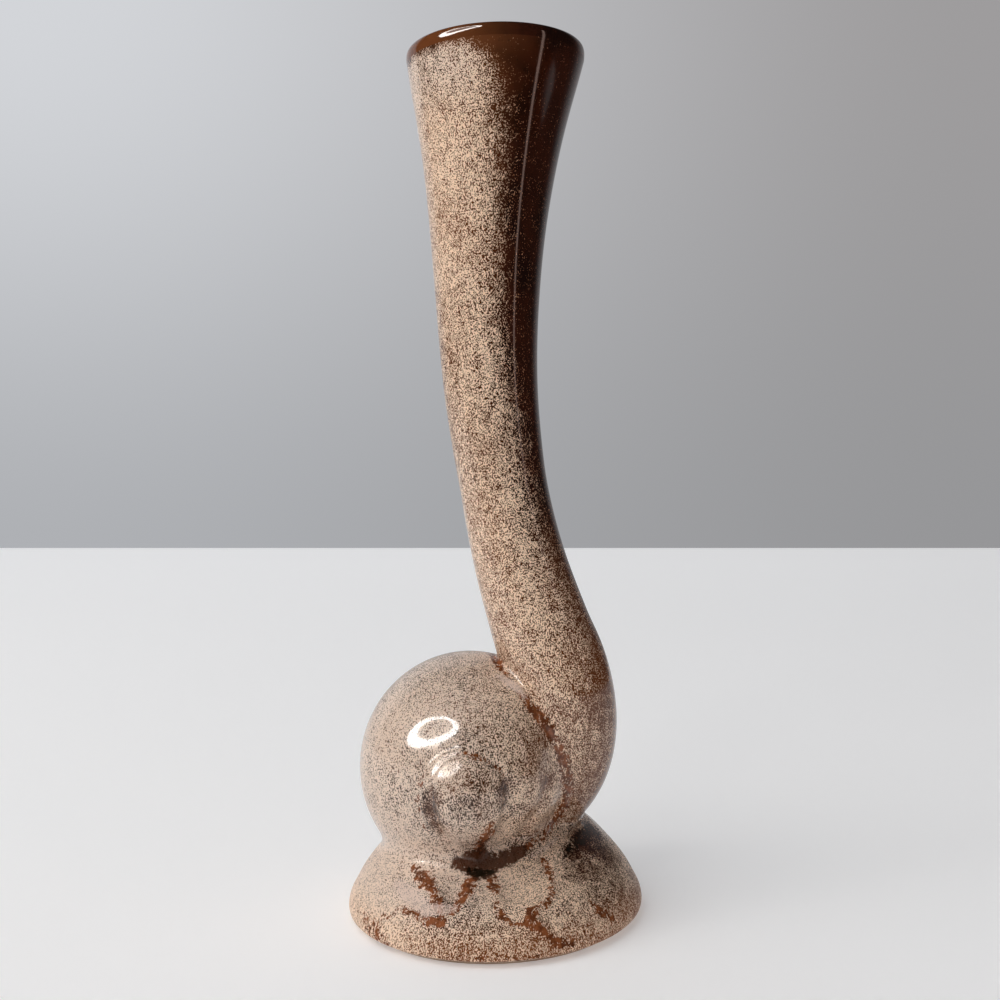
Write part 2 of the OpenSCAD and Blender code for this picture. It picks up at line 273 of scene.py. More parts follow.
# Patches thick with dark grey specks, some of them painted shade: (across, down, radius in mm, how much
# thinner the spray is)
SPECKS_AND_SHADE = [
    (485, 735, 9.0, 0.15), (452, 728, 5.0, 0.1), (430, 668, 8.0, 0.08), (478, 680, 6.0, 0.1),
    (547, 785, 3.2, 0.3), (431, 800, 3.2, 0.58), (430, 812, 3.6, 0.66), (435, 826, 3.2, 0.54),
    (505, 788, 2.6, 0.5), (503, 803, 2.2, 0.34), (470, 795, 6.5, 0.25), (524, 812, 3.4, 0.16),
    # The patches from (584, 842) to (612, 880), and (600, 893), are painted shade where the foot meets the
    # last turn
    (405, 780, 8.0, 0.1), (584, 842, 4.2, 0.6), (573, 853, 3.0, 0.55), (593, 833, 3.6, 0.55),
    (600, 850, 6.0, 0.4), (586, 868, 6.0, 0.36), (612, 880, 6.0, 0.24), (480, 925, 7.0, 0.12),
    (528, 760, 7.0, 0.14), (540, 745, 4.0, 0.12), (455, 936, 11.0, 0.22), (505, 936, 10.0, 0.16),
    (600, 700, 8.0, 0.06), (600, 893, 5.0, 0.2), (470, 845, 3.0, 0.2), (520, 845, 3.0, 0.2),
]
# Where the tip's glaze is less smooth: (across, down, radius in mm, strength)
SATIN = [(438, 757, 3.4, 0.75), (449, 765, 3.6, 0.75), (455, 752, 2.6, 0.6)]


def blend(a, b, t):
    """From a at t = 0 to b at t = 1."""
    return a + (b - a) * t


def eased(low, high, value):
    """From 0 at low to 1 at high, softly at both ends."""
    t = np.clip((value - low) / (high - low), 0, 1)
    return t * t * (3 - 2 * t)


def melt(a, b, soft):
    """The nearer of two skins run together over a soft width, or with a width below zero the further."""
    sign = np.sign(soft)
    a, b, soft = a * sign, b * sign, np.abs(soft)
    near = np.maximum(soft - np.abs(a - b), 0) / soft
    return sign * (np.minimum(a, b) - near * near * soft / 4)


def read(table, k, column):
    """Reads a table smoothly at k, from the slopes on both sides."""
    table = np.asarray(table, float)
    x, y = table[:, 0], table[:, column]
    order = np.arange(len(x))
    ahead, back = np.minimum(order + 1, len(x) - 1), np.maximum(order - 1, 0)
    slopes = (y[ahead] - y[back]) / (x[ahead] - x[back])
    i = np.clip(np.searchsorted(x, k, side="right") - 1, 0, len(x) - 2)
    w = x[i + 1] - x[i]
    u = (k - x[i]) / w
    p, q, sp, sq = y[i], y[i + 1], slopes[i] * w, slopes[i + 1] * w
    return p + u * (sp + u * (3 * (q - p) - 2 * sp - sq + u * (sp + sq - 2 * (q - p))))


tip_turn = math.radians(MOUTH_TIP)
lip_mid_r = (MOUTH_D - LIP_D) / 2
lip_rise = math.sqrt(LIP_D**2 - NECK_WALL**2) / 2
rim_r = lip_mid_r + NECK_WALL / 2
rise_turn = math.radians(MOUTH_RISE)
root_x = TURN_REACH * math.sin(math.radians(ROOT_ANGLE))
root_z = SHELL_Z + TURN_REACH * math.cos(math.radians(ROOT_ANGLE))
neck_top = VASE_H - lip_mid_r * math.sin(tip_turn) - lip_rise * math.cos(tip_turn) - LIP_D / 2 - MOUTH_DROP
# The mouth tips a little to the back, and is higher on its right
lip_axis = np.array([
    -math.sin(rise_turn),
    -math.sin(tip_turn) * math.cos(rise_turn),
    math.cos(tip_turn) * math.cos(rise_turn),
])
shell_mid = np.array([-SHELL_LEFT, -SHELL_FRONT, SHELL_Z])
tip_mid = shell_mid + np.array([-TIP_ASIDE, TIP_R - SHELL_DEPTH_R - TIP_PROUD, -TIP_BELOW])
tip_top = tip_mid + TIP_SHIFT


def neck_at(s):
    """The neck's middle and radius at shares of its height."""
    u = np.clip(1 - s / WAIST_SHARE, 0, 1)
    t = np.clip((s - WAIST_SHARE) / (1 - WAIST_SHARE), 0, 2)
    below = blend(WAIST_D / 2, SHOULDER_D / 2, u**SHOULDER_POWER)
    above = blend(WAIST_D / 2, rim_r, (1 - FLARE_SHARE) * t + FLARE_SHARE * t**FLARE_POWER)
    deep = (1 - s) * (neck_top - root_z)
    above = above + RIM_BULGE * deep * np.exp(-np.abs(deep) / RIM_BULGE_DEPTH)
    return np.stack([
        (root_x - SHELL_LEFT) * read(NECK_LINE, s, 1),
        -TURN_SWING * read(NECK_LINE, s, 2),
        blend(root_z, neck_top, s),
        np.where(s < WAIST_SHARE, below, above),
    ], 1)


def turn_at(a):
    """The last turn's middle and radius at degrees from the top."""
    reach = TURN_REACH * read(TURN_LINE, a, 1)
    return np.stack([
        reach * np.sin(np.radians(a)) - SHELL_LEFT,
        -TURN_SWING * read(TURN_LINE, a, 2),
        reach * np.cos(np.radians(a)) + SHELL_Z,
        TURN_D / 2 * read(TURN_LINE, a, 3),
    ], 1)


# The stem's middle and radius, from above the mouth down the neck and round the last turn, a step apart
ROUTE_STEP = 0.3
ROUTE_EASE = 7
ABOVE_MOUTH = 1.05
NECK_STATIONS = 500
TURN_STATIONS = 300
route = np.concatenate([
    neck_at(np.linspace(ABOVE_MOUTH, 0, NECK_STATIONS)),
    turn_at(np.linspace(ROOT_ANGLE, TURN_END, TURN_STATIONS)[1:]),
])
along = np.concatenate([[0], np.cumsum(np.linalg.norm(np.diff(route[:, :3], axis=0), axis=1))])
root_along = along[NECK_STATIONS - 1] / ROUTE_STEP
even = np.arange(0, along[-1], ROUTE_STEP)
route = np.stack([np.interp(even, along, route[:, i]) for i in range(4)], 1)
bell_half = 3 * ROUTE_EASE
bell = np.exp(-0.5 * (np.arange(-bell_half, bell_half + 1) / ROUTE_EASE) ** 2)
padded = np.pad(route, ((bell_half, bell_half), (0, 0)), mode="reflect", reflect_type="odd")
route = np.stack([np.convolve(padded[:, i], bell / bell.sum(), mode="valid") for i in range(4)], 1)
route_step = np.gradient(route[:, :3], axis=0)
last_station = len(route) - 1.001
# Each station's own plane is square to the stem, and turns into the mouth's plane between these depths
MOUTH_TURNS = 28.0
MOUTH_LEVEL = 2.0
route_head = -route_step / np.linalg.norm(route_step, axis=1)[:, None]
by_mouth = eased(neck_top - MOUTH_TURNS, neck_top - MOUTH_LEVEL, route[:, 2])[:, None]
route_head = blend(route_head, lip_axis, by_mouth)
route_head = -route_head / np.linalg.norm(route_head, axis=1)[:, None]
route_turn = np.gradient(route_head, axis=0)


def on_route(table, u):
    """A table of the stations, read between them too."""
    i = np.clip(u.astype(int), 0, len(table) - 2)
    part = (u - i)[:, None]
    return table[i] * (1 - part) + table[i + 1] * part


def beside_stem(p, every=12):
    """The nearest station of the stem to each point."""
    nearest = np.full(len(p), np.inf)
    where = np.zeros(len(p))
    for i in range(0, len(route), every):
        gap = ((p - route[i, :3]) ** 2).sum(1)
        closer = gap < nearest
        nearest[closer] = gap[closer]
        where[closer] = i
    return where


STATION_ROUNDS = 3
LEAST_STEP_SHARE = 0.3


def stem_station(p, u):
    """Moves each station along the stem until its plane holds the point."""
    for _ in range(STATION_ROUNDS):
        gap = on_route(route[:, :3], u) - p
        head = on_route(route_head, u)
        length = (on_route(route_step, u) * head).sum(1)
        steep = length + (gap * on_route(route_turn, u)).sum(1)
        u = u - (gap * head).sum(1) / np.maximum(steep, LEAST_STEP_SHARE * length)
        u = np.clip(u, 0, last_station)
    return u


def stem_skin(p, u):
    """How far each point stands outside the neck and the last turn."""
    u = stem_station(p, u)
    at = on_route(route, u)
    return np.linalg.norm(p - at[:, :3], axis=1) - at[:, 3]


def coil_r(turned):
    """The coil's radius at degrees round it, before it steps back."""
    return SHELL_R - SHELL_DROP * (turned / 360) ** DROP_POWER


def shell_skin(p):
    """How far each point stands outside the coil."""
    q = p - shell_mid
    turned = (np.degrees(np.arctan2(q[:, 0], q[:, 2])) + COIL_START) % 360
    full = coil_r(turned)
    left = 360 - turned
    r = np.where(left < SHELL_STEP, blend(SHELL_R, full, left / SHELL_STEP), full)
    g = np.sqrt((q[:, 0] ** 2 + q[:, 2] ** 2) / r**2 + (q[:, 1] / SHELL_DEPTH_R) ** 2)
    return (g - 1) * np.linalg.norm(q, axis=1) / np.maximum(g, 0.05)


# The foot's half width and dip at even heights, and its height at even shares of the half width
FOOT_FINE = 800
FOOT_ROUNDS = 4
FOOT_SIDE_SHARE = 0.97
LEAST_EDGE_SHARE = 0.02
MOST_DIP_SHARE = 1.05
foot_h = np.linspace(0, 1, FOOT_FINE + 1)
foot_edge = np.maximum(read(FOOT_LINE, foot_h, 1), LEAST_EDGE_SHARE)
foot_dip = np.clip(read(FOOT_LINE, foot_h, 2), 0, MOST_DIP_SHARE)
foot_lean = np.gradient(foot_edge, foot_h)
foot_sink = np.gradient(foot_dip, foot_h)
upper = foot_h > FOOT_LINE[2][0]
foot_share = np.linspace(0, 1, FOOT_FINE + 1)
foot_top = np.interp(foot_share, foot_edge[upper][::-1], foot_h[upper][::-1])
foot_fall = np.gradient(foot_top, foot_share)


def at_even(table, k):
    """A table of even shares, read between them too."""
    place = np.clip(k, 0, 1) * FOOT_FINE
    i = np.minimum(place.astype(int), FOOT_FINE - 1)
    return table[i] + (place - i) * (table[i + 1] - table[i])


def foot_place(p):
    """Points along the turned foot's own two widths."""
    x = p[:, 0] * math.cos(FOOT_TURN) - p[:, 1] * math.sin(FOOT_TURN)
    y = p[:, 0] * math.sin(FOOT_TURN) + p[:, 1] * math.cos(FOOT_TURN)
    return x, y


def dip_at(way):
    """How far the dome dips at an angle round the foot."""
    return FOOT_DIP * np.maximum(0, np.cos(way - FOOT_TURN - DIP_ANGLE)) ** DIP_POWER


def foot_skin(p):
    """How far each point stands outside the foot."""
    x, y = foot_place(p)
    share = np.hypot(x / (FOOT_W / 2), y / (FOOT_D / 2)) + 0.001
    way = np.arctan2(y / (FOOT_D / 2), x / (FOOT_W / 2))
    fall = dip_at(way)
    tall = FOOT_H - RING_H
    reach = np.hypot(x, y) / share
    h = np.clip((p[:, 2] - RING_H) / tall, 0, 1)
    for _ in range(FOOT_ROUNDS):
        miss = RING_H + tall * h - fall * at_even(foot_dip, h) - p[:, 2]
        h = np.clip(h - miss / np.maximum(tall - fall * at_even(foot_sink, h), tall / 3), 0, 1)
    lean = at_even(foot_lean, h) * reach / np.maximum(tall - fall * at_even(foot_sink, h), tall / 3)
    side = (share - at_even(foot_edge, h)) * reach / np.sqrt(1 + lean**2)
    top = at_even(foot_top, share)
    over = p[:, 2] - (RING_H + tall * top - fall * at_even(foot_dip, top))
    slant = at_even(foot_fall, share) * (tall - fall * at_even(foot_sink, top)) / reach
    above = over / np.sqrt(1 + slant**2)
    skin = np.where(share < FOOT_SIDE_SHARE, np.maximum(side, above), side)
    return melt(skin, RING_H - p[:, 2], -EDGE_SOFT)


def skins(p, u):
    """The four forms: shell, tip, stem and foot."""
    shell = shell_skin(p)
    q = (p - tip_top) / TIP_SIZE
    far = np.linalg.norm(q, axis=1)
    tip = (far - 1) * far / np.maximum(np.linalg.norm(q / TIP_SIZE, axis=1), 0.01)
    return shell, tip, stem_skin(p, u), foot_skin(p)


CREASE_FADE = (-3, 4)


def body_skin(p, u):
    """How far each point stands outside the vase, without its relief."""
    shell, tip, stem, foot = skins(p, u)
    snail = melt(shell, tip, TIP_SOFT)
    soft = blend(CREASE_SOFT, FILLET_SOFT, eased(*CREASE_FADE, stem - snail))
    return melt(melt(snail, stem, SEAM_SOFT), foot, soft)


SIGHT_FROM = 195.0
SIGHT_ROUNDS = 90
SIGHT_PACE = 0.7
SIGHT_STRIDE = (-1, 20)


def sight(places):
    """The points of the body's skin that the camera sees at these picture places."""
    places = np.asarray(places, float)
    across, up = (places[:, 0] - MIDDLE) / FOCUS, (HORIZON - places[:, 1]) / FOCUS
    ray = np.stack([across, np.ones(len(places)), up], 1)
    ray /= np.linalg.norm(ray, axis=1)[:, None]
    reach = np.full(len(places), SIGHT_FROM)
    for _ in range(SIGHT_ROUNDS):
        p = EYE + ray * reach[:, None]
        reach = reach + SIGHT_PACE * np.clip(body_skin(p, beside_stem(p)), *SIGHT_STRIDE)
    return EYE + ray * reach[:, None]


def beside_line(p, line, values, reach):
    """Distance from each point to a line of points, and the line's values at the nearest place."""
    nearest = np.full(len(p), reach)
    found = np.zeros((len(p), values.shape[1]))
    inside = np.flatnonzero(((p > line.min(0) - reach) & (p < line.max(0) + reach)).all(1))
    q = p[inside]
    gap, got = nearest[inside], found[inside]
    for i in range(max(len(line) - 1, 1)):
        j = min(i + 1, len(line) - 1)
        run = line[j] - line[i]
        t = np.clip(((q - line[i]) @ run) / max(run @ run, 1e-9), 0, 1)
        d = np.linalg.norm(q - line[i] - t[:, None] * run, axis=1)
        closer = d < gap
        gap[closer] = d[closer]
        got[closer] = blend(values[i], values[j], t[closer, None])
    nearest[inside], found[inside] = gap, got
    return nearest, found


relief_lines = {
    name: (sight([r[:2] for r in rows]), np.array([r[2:] for r in rows])) for name, rows in RELIEF.items()
}
RELIEF_REACH = 6.0
RELIEF_FINEST = 0.2


def vase_skin(p, u):
    """How far each point stands outside the vase."""
    f = body_skin(p, u)
    for line, values in relief_lines.values():
        gap, got = beside_line(p, line, values, RELIEF_REACH)
        wide = np.maximum(got[:, 1], RELIEF_FINEST)
        f = f - got[:, 0] * np.exp(-((gap / wide) ** 2))
    return f


CORNERS = np.array([(1, 1, 1), (1, -1, -1), (-1, 1, -1), (-1, -1, 1)], float)
SLOPE_REACH = 0.05
SKIN_STRIDE = 1
LEAST_SLOPE = 0.2


def slope_of(skin, p, u):
    """A skin's value and slope at each point, from four corners round it."""
    values = [skin(p + corner * SLOPE_REACH, u) for corner in CORNERS]
    slope = sum(value[:, None] * corner for value, corner in zip(values, CORNERS)) / (4 * SLOPE_REACH)
    return sum(values) / 4, slope


def onto_skin(p, u, times):
    """Moves points along the skin's slope until they lie on it."""
    for _ in range(times):
        f, slope = slope_of(vase_skin, p, u)
        steep = np.maximum((slope * slope).sum(1), LEAST_SLOPE)[:, None]
        p = p - np.clip(f, -SKIN_STRIDE, SKIN_STRIDE)[:, None] * slope / steep
    return p


def mesh_of(bm, name):
    """A new mesh of what the bmesh holds."""
    mesh = bpy.data.meshes.new(name)
    bm.to_mesh(mesh)
    bm.free()
    return mesh


def placed(name, data):
    """A new object in the scene."""
    made = bpy.data.objects.new(name, data)
    bpy.context.scene.collection.objects.link(made)
    return made


def stacked(bm, rings):
    """A closed form drawn through rings of points."""
    made = bmesh.ops.create_circle(bm, cap_ends=True, segments=len(rings[0]), radius=1)
    cap = made["verts"][0].link_faces[0]
    for v, spot in zip(cap.verts, rings[0]):
        v.co = spot
    for ring in rings[1:]:
        drawn = bmesh.ops.extrude_face_region(bm, geom=[cap])
        cap = next(g for g in drawn["geom"] if isinstance(g, bmesh.types.BMFace))
        for v, spot in zip(cap.verts, ring):
            v.co = spot


def stem_rings(every, sides):
    """Rings of points round the stem, square to it."""
    turn = np.linspace(0, 2 * math.pi, sides, endpoint=False)
    for i in range(0, len(route) - 1, every):
        head = route_head[i]
        side = np.cross(head, (0, 1, 0))
        side /= np.linalg.norm(side)
        front = np.cross(head, side)
        yield route[i, :3] + route[i, 3] * (np.cos(turn)[:, None] * side + np.sin(turn)[:, None] * front)


def foot_rings(sides):
    """Rings of points round the foot, from the bottom up."""
    way = np.linspace(0, 2 * math.pi, sides, endpoint=False)
    fall = dip_at(way)
    for h, share, dip in FOOT_LINE:
        x, y = share * FOOT_W / 2 * np.cos(way), share * FOOT_D / 2 * np.sin(way)
        yield np.stack([
            x * math.cos(FOOT_TURN) + y * math.sin(FOOT_TURN),
            y * math.cos(FOOT_TURN) - x * math.sin(FOOT_TURN),
            RING_H + (FOOT_H - RING_H) * h - fall * dip,
        ], 1)


def numbers(items, name, width, kind=float):
    """One value of every item, as an array."""
    values = np.zeros(len(items) * width, kind)
    items.foreach_get(name, values)
    return values.reshape(-1, width) if width > 1 else values


# The neck carries no fine relief, so its faces are twice as tall: it is squeezed while the even mesh is made
NECK_FROM = 64.0
NECK_SQUEEZE = 0.45


def squeezed(z):
    """Heights with the neck's part shortened."""
    return np.where(z > NECK_FROM, NECK_FROM + (z - NECK_FROM) * NECK_SQUEEZE, z)


def let_out(z):
    """Heights with the neck's part at its own length again."""
    return np.where(z > NECK_FROM, NECK_FROM + (z - NECK_FROM) / NECK_SQUEEZE, z)


# The rough vase, as overlapping closed forms that an even mesh then joins
VOXEL = 0.42
STEM_EVERY = 8
STEM_SIDES = 48
FOOT_SIDES = 72
SHELL_SIDES = 64
SHELL_ROWS = 40
TIP_SIDES = 48
TIP_ROWS = 24
rough = bmesh.new()
stacked(rough, list(stem_rings(STEM_EVERY, STEM_SIDES)))
stacked(rough, list(foot_rings(FOOT_SIDES)))
ball = bmesh.ops.create_uvsphere(rough, u_segments=SHELL_SIDES, v_segments=SHELL_ROWS, radius=1)["verts"]
for v in ball:
    turned = (math.degrees(math.atan2(v.co.x, v.co.z)) + COIL_START) % 360
    full = coil_r(turned)
    v.co = Vector(shell_mid) + Vector((v.co.x * full, v.co.y * SHELL_DEPTH_R, v.co.z * full))
cap = bmesh.ops.create_uvsphere(rough, u_segments=TIP_SIDES, v_segments=TIP_ROWS, radius=TIP_R)["verts"]
bmesh.ops.translate(rough, vec=Vector(tip_mid), verts=cap)
bmesh.ops.recalc_face_normals(rough, faces=rough.faces[:])
rough_vase = placed("rough_vase", mesh_of(rough, "rough_vase"))
rough_co = numbers(rough_vase.data.vertices, "co", 3)
rough_co[:, 2] = squeezed(rough_co[:, 2])
rough_vase.data.vertices.foreach_set("co", rough_co.ravel())
remesh = rough_vase.modifiers.new("even", "REMESH")
remesh.mode = "VOXEL"
remesh.voxel_size = VOXEL
whole = bpy.data.meshes.new_from_object(rough_vase.evaluated_get(bpy.context.evaluated_depsgraph_get()))
bpy.data.objects.remove(rough_vase)

skin = numbers(whole.vertices, "co", 3)
skin[:, 2] = let_out(skin[:, 2])
edges = numbers(whole.edges, "vertices", 2, int)
near = beside_stem(skin)


def evened(p, pairs, share):
    """Moves each point towards the middle of its neighbours."""
    total = np.zeros_like(p)
    count = np.zeros(len(p))
    for a, b in ((0, 1), (1, 0)):
        count += np.bincount(pairs[:, a], minlength=len(p))
        for k in range(3):
            total[:, k] += np.bincount(pairs[:, a], weights=p[pairs[:, b], k], minlength=len(p))
    joined = count > 0
    q = p.copy()
    q[joined] = blend(p[joined], total[joined] / count[joined, None], share)
    return q


# The even mesh is drawn onto the vase's skin, and its faces are evened there
EVEN_ROUNDS = 4
EVEN_SHARE = 0.6
skin = onto_skin(skin, near, 3)
for _ in range(EVEN_ROUNDS):
    skin = onto_skin(evened(skin, edges, EVEN_SHARE), near, 1)
skin = onto_skin(skin, near, 2)
whole.vertices.foreach_set("co", skin.ravel())

# The mouth is cut level with the lip's underside
WELD = 0.001
mouth_mid = neck_at(np.array([1.0]))[0, :3]
cutter = bmesh.new()
cutter.from_mesh(whole)
cut = cutter.verts[:] + cutter.edges[:] + cutter.faces[:]
bmesh.ops.bisect_plane(
    cutter, geom=cut, dist=WELD, plane_co=Vector(mouth_mid), plane_no=Vector(lip_axis), clear_outer=True
)
whole = mesh_of(cutter, "whole_vase")
skin = numbers(whole.vertices, "co", 3)
near = stem_station(skin, beside_stem(skin))
edges = numbers(whole.edges, "vertices", 2, int)

# Which piece each face belongs to: the nearest of four forms, then the neck, the seam's bead and the floor
SHELL, TIP, LAST_TURN, FOOT, NECK, SEAM_BEAD, FLOOR = range(7)
SEAM_HALF = 1.15
FLOOR_BELOW = 0.2
BORDER_ABOVE = 0.3
BORDER_ROUNDS = 10
BORDER_SHARE = 0.5
corner_face = np.repeat(np.arange(len(whole.polygons)), numbers(whole.polygons, "loop_total", 1, int))
corner_edge = numbers(whole.loops, "edge_index", 1, int)
face_mid = numbers(whole.polygons, "center", 3)
face_near = stem_station(face_mid, beside_stem(face_mid))
face_skins = np.stack(skins(face_mid, face_near), 1)
label = face_skins.argmin(1)
label[(label == LAST_TURN) & (face_near < root_along)] = NECK
seam_gap, _ = beside_line(face_mid, *relief_lines["seam ridge"], RELIEF_REACH)
label[(seam_gap < SEAM_HALF) & (label != FOOT)] = SEAM_BEAD
fx, fy = foot_place(face_mid)
slab_rx, slab_ry = FOOT_W / 2 * EDGE_SHARE - FOOT_WALL, FOOT_D / 2 * EDGE_SHARE - FOOT_WALL
label[(face_mid[:, 2] < RING_H + FLOOR_BELOW) & (np.hypot(fx / slab_rx, fy / slab_ry) < 1)] = FLOOR

# The borders between pieces are drawn smooth along the skin
low = np.full(len(edges), FLOOR + 1)
high = np.full(len(edges), -1)
np.minimum.at(low, corner_edge, label[corner_face])
np.maximum.at(high, corner_edge, label[corner_face])
border = edges[low < high]
touched = np.zeros(len(skin), bool)
touched[border.ravel()] = True
touched &= skin[:, 2] > RING_H + BORDER_ABOVE
for _ in range(BORDER_ROUNDS):
    skin[touched] = onto_skin(evened(skin, border, BORDER_SHARE)[touched], near[touched], 1)
whole.vertices.foreach_set("co", skin.ravel())

# Outward directions, and the inner wall, which meets the lip level with the mouth
WALL = 3.0
WALL_LEVELS = 20.0
_, outward = slope_of(vase_skin, skin, near)
outward /= np.linalg.norm(outward, axis=1)[:, None]
_, inward = slope_of(body_skin, skin, near)
head = on_route(route_head, near)
level_share = eased(neck_top - WALL_LEVELS, neck_top - MOUTH_LEVEL, skin[:, 2])[:, None]
inward = inward - level_share * head * (inward * head).sum(1)[:, None]
inward /= np.linalg.norm(inward, axis=1)[:, None]
inner = skin - WALL * inward


STROKE_REACH = 7.0
STROKE_FINEST = 0.1
STROKE_EDGE = (0.3, 1.5)
DUST_EDGE = (0.2, 1.3)


def painted(p, table):
    """How strongly the strokes of a table cover each point."""
    paint = np.zeros(len(p))
    for rows in table.values():
        line, values = sight([r[:2] for r in rows]), np.array([r[2:] for r in rows])
        gap, got = beside_line(p, line, values, STROKE_REACH)
        wide = np.maximum(got[:, 0], STROKE_FINEST)
        paint = np.maximum(paint, got[:, 1] * (1 - eased(*STROKE_EDGE, gap / wide)))
    return paint


def dusted(p, table):
    """How strongly the round patches of a table cover each point."""
    spots = sight([r[:2] for r in table])
    dust = np.zeros(len(p))
    for spot, (_, _, radius, strength) in zip(spots, table):
        gap = np.linalg.norm(p - spot, axis=1)
        dust = np.maximum(dust, strength * (1 - eased(*DUST_EDGE, gap / radius)))
    return dust


# How thickly the pale spray covers the stem: height in mm, share on the side away from it, share on the side
# that faces it, and the two facings between which it thins out
SPRAY_WAY = np.array([-0.92, -0.39, 0.0])
SPRAY_LINE = [
    (36, 0.26, 0.5, -0.75, 0.5), (50, 0.24, 0.5, -0.7, 0.45), (63, 0.24, 0.58, -0.7, 0.45),
    (79, 0.02, 0.54, -0.72, 0.36), (90, -0.02, 0.52, -0.7, 0.36), (99, -0.06, 0.52, -0.65, 0.36),
    (115, -0.12, 0.54, -0.4, 0.52), (130, -0.14, 0.58, -0.3, 0.5), (154, -0.18, 0.6, -0.2, 0.62),
    (167, -0.2, 0.66, 0.02, 0.72),
]
# Below the rim the spray fades out, higher up on the side that faces it
RIM_BARE_AWAY = 168.0
RIM_BARE_FACING = 174.2
RIM_BARE_TURN = (0, 0.85)
RIM_FADE = 5.5
BARE_COVER = -0.25
stem_out = skin - on_route(route[:, :3], near)
stem_out /= np.linalg.norm(stem_out, axis=1)[:, None]
facing = stem_out @ SPRAY_WAY
away, towards, thin, thick = (np.interp(skin[:, 2], *np.array(SPRAY_LINE).T[[0, i]]) for i in range(1, 5))
stem_cover = blend(away, towards, eased(thin, thick, facing))
rim_bare = blend(RIM_BARE_AWAY, RIM_BARE_FACING, eased(*RIM_BARE_TURN, facing))
stem_cover = blend(stem_cover, BARE_COVER, eased(-RIM_FADE, 0, skin[:, 2] - rim_bare))

# Where each point lies: on the stem or the foot, to the right, low on the foot (places in mm)
STEM_EDGE = (-0.8, 1.4)
FOOT_EDGE = (-1, 1)
RIGHT_SIDE = (0, 9)
LOW_FOOT = (10, 3)
across, up = skin[:, 0], skin[:, 2]
shell_gap, _, stem_gap, foot_gap = skins(skin, near)
on_stem = eased(*STEM_EDGE, np.minimum(shell_gap, foot_gap) - stem_gap)
on_foot = eased(*FOOT_EDGE, stem_gap - foot_gap) * eased(*FOOT_EDGE, shell_gap - foot_gap)
right_side = eased(*RIGHT_SIDE, across)
low_foot = on_foot * eased(*LOW_FOOT, up)

# How thickly the spray covers the shell and the foot, and how much thinner or thicker it is there
BODY_COVER = 0.7
THINNER_OUT_RIGHT = 0.14
THICKER_ON_FOOT = 0.06
THINNER_RIGHT_SIDE = 0.09
THINNER_LOW_FOOT = 0.12
cover = BODY_COVER - THINNER_OUT_RIGHT * outward[:, 0] + THICKER_ON_FOOT * on_foot
cover = cover - THINNER_RIGHT_SIDE * right_side - THINNER_LOW_FOOT * low_foot
# The patches of dark specks thin the spray; where the foot meets the last turn they are painted shade
cover = blend(cover, stem_cover, on_stem) - dusted(skin, SPECKS_AND_SHADE)

# Where the spray and its gaps are grey and not brown: on the shell and the foot, less to the right; and at
# the neck's top where it faces the spray, where the grey is a painted reflection of soft light
COOL_ACROSS = (-8, 7)
COOL_RIGHT = 0.15
TOP_REFLECTION = 0.8
TOP_REFLECTION_UP = (156, 168)
TOP_REFLECTION_FACING = (0.2, 0.8)
COOL_LOST_LOW_FOOT = 0.75
cool_and_reflection = (1 - on_stem) * blend(1, COOL_RIGHT, eased(*COOL_ACROSS, across))
cool_and_reflection = np.maximum(cool_and_reflection, TOP_REFLECTION * eased(*TOP_REFLECTION_UP, up) * eased(*TOP_REFLECTION_FACING, facing))
cool_and_reflection = cool_and_reflection * (1 - COOL_LOST_LOW_FOOT * low_foot)

# Where the dark glaze breaks amber: on the side that faces the spray, less at the waist, at the rim, at the
# last turn, on the shell's right and low on the foot
AMBER_NECK, AMBER_WAIST = 0.5, 0.34
AMBER_FACING = (-0.15, 0.95)
WAIST_FROM, WAIST_TO = (80, 90), (134, 120)
AMBER_RIM = 0.62
AMBER_RIM_FACING = (-0.3, 0.95)
AMBER_RIM_UP = (165, 171)
AMBER_TURN_HIGH, AMBER_TURN_LOW = 0.26, 0.42
TURN_HIGH_UP, TURN_LOW_UP = (88, 62), (62, 46)
AMBER_RIGHT_SIDE = 0.4
AMBER_LOW_FOOT = 0.8
waist = eased(*WAIST_TO, up) * eased(*WAIST_FROM, up)
amber = blend(AMBER_NECK, AMBER_WAIST, waist) * eased(*AMBER_FACING, facing)
amber = np.maximum(amber, AMBER_RIM * eased(*AMBER_RIM_FACING, facing) * eased(*AMBER_RIM_UP, up))
turn_amber = blend(AMBER_TURN_HIGH, AMBER_TURN_LOW, eased(*TURN_LOW_UP, up)) * eased(*TURN_HIGH_UP, up)
amber = np.maximum(amber, turn_amber)
amber = blend(AMBER_RIGHT_SIDE * right_side * (1 - on_foot) + AMBER_LOW_FOOT * low_foot, amber, on_stem)

MATT_FOOT_UP = (19, 11)
matt_foot = on_foot * eased(*MATT_FOOT_UP, up)
paints = {
    "cover": cover,
    "amber": amber,
    "rust": painted(skin, RUST),
    "pool": painted(skin, POOLS),
    # Darkest places, with painted shade beside the last turn
    "deep": painted(skin, DEEP_AND_SHADE),
    # Grey tone, and at the neck's top a painted reflection
    "cool_and_reflection": cool_and_reflection,
    # Pale places, with painted highlights
    "pale": painted(skin, PALE_AND_HIGHLIGHT),
    "matt": np.maximum(matt_foot, dusted(skin, SATIN)),
    "dull": matt_foot,
}


